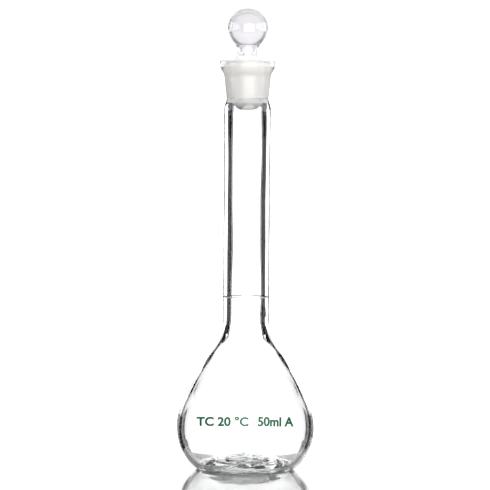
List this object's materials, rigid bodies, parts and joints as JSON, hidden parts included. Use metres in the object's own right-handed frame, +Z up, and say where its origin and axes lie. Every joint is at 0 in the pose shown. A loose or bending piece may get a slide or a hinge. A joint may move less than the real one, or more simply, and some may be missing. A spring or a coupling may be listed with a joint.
{
  "type": "volumetric flask",
  "caption": "Pear-shaped glass volumetric flask with a long narrow neck, a graduation line and a ball-head ground-glass stopper.",
  "frame": {"origin": "centre of the base circle, on the surface that the flask stands on", "axes": "+Z up along the axis of the neck; the lettering faces -Y; +X to the right of someone reading it"},
  "size_m": [0.0482, 0.0482, 0.1613],
  "materials": {
    "clear_glass": "clear, fire polished",
    "ground_glass": "finely ground, translucent white",
    "stopper_glass": "clear, fire polished, faintly lavender",
    "etched_line": "etched, pale grey",
    "green_enamel": "fired enamel, satin"
  },
  "bodies": {
    "flask": {"flask_body": "clear_glass", "ground_socket": "ground_glass", "graduation_line": "etched_line", "capacity_marking": "green_enamel", "temperature_marking": "green_enamel"},
    "stopper": {"stopper_plug": "ground_glass", "stopper_head": "stopper_glass"}
  },
  "joints": [
    {"name": "stopper_lift", "type": "slide", "parent": "flask", "child": "stopper", "axis": [0, 0, 1], "range_m": [0, 0.04]}
  ]
}
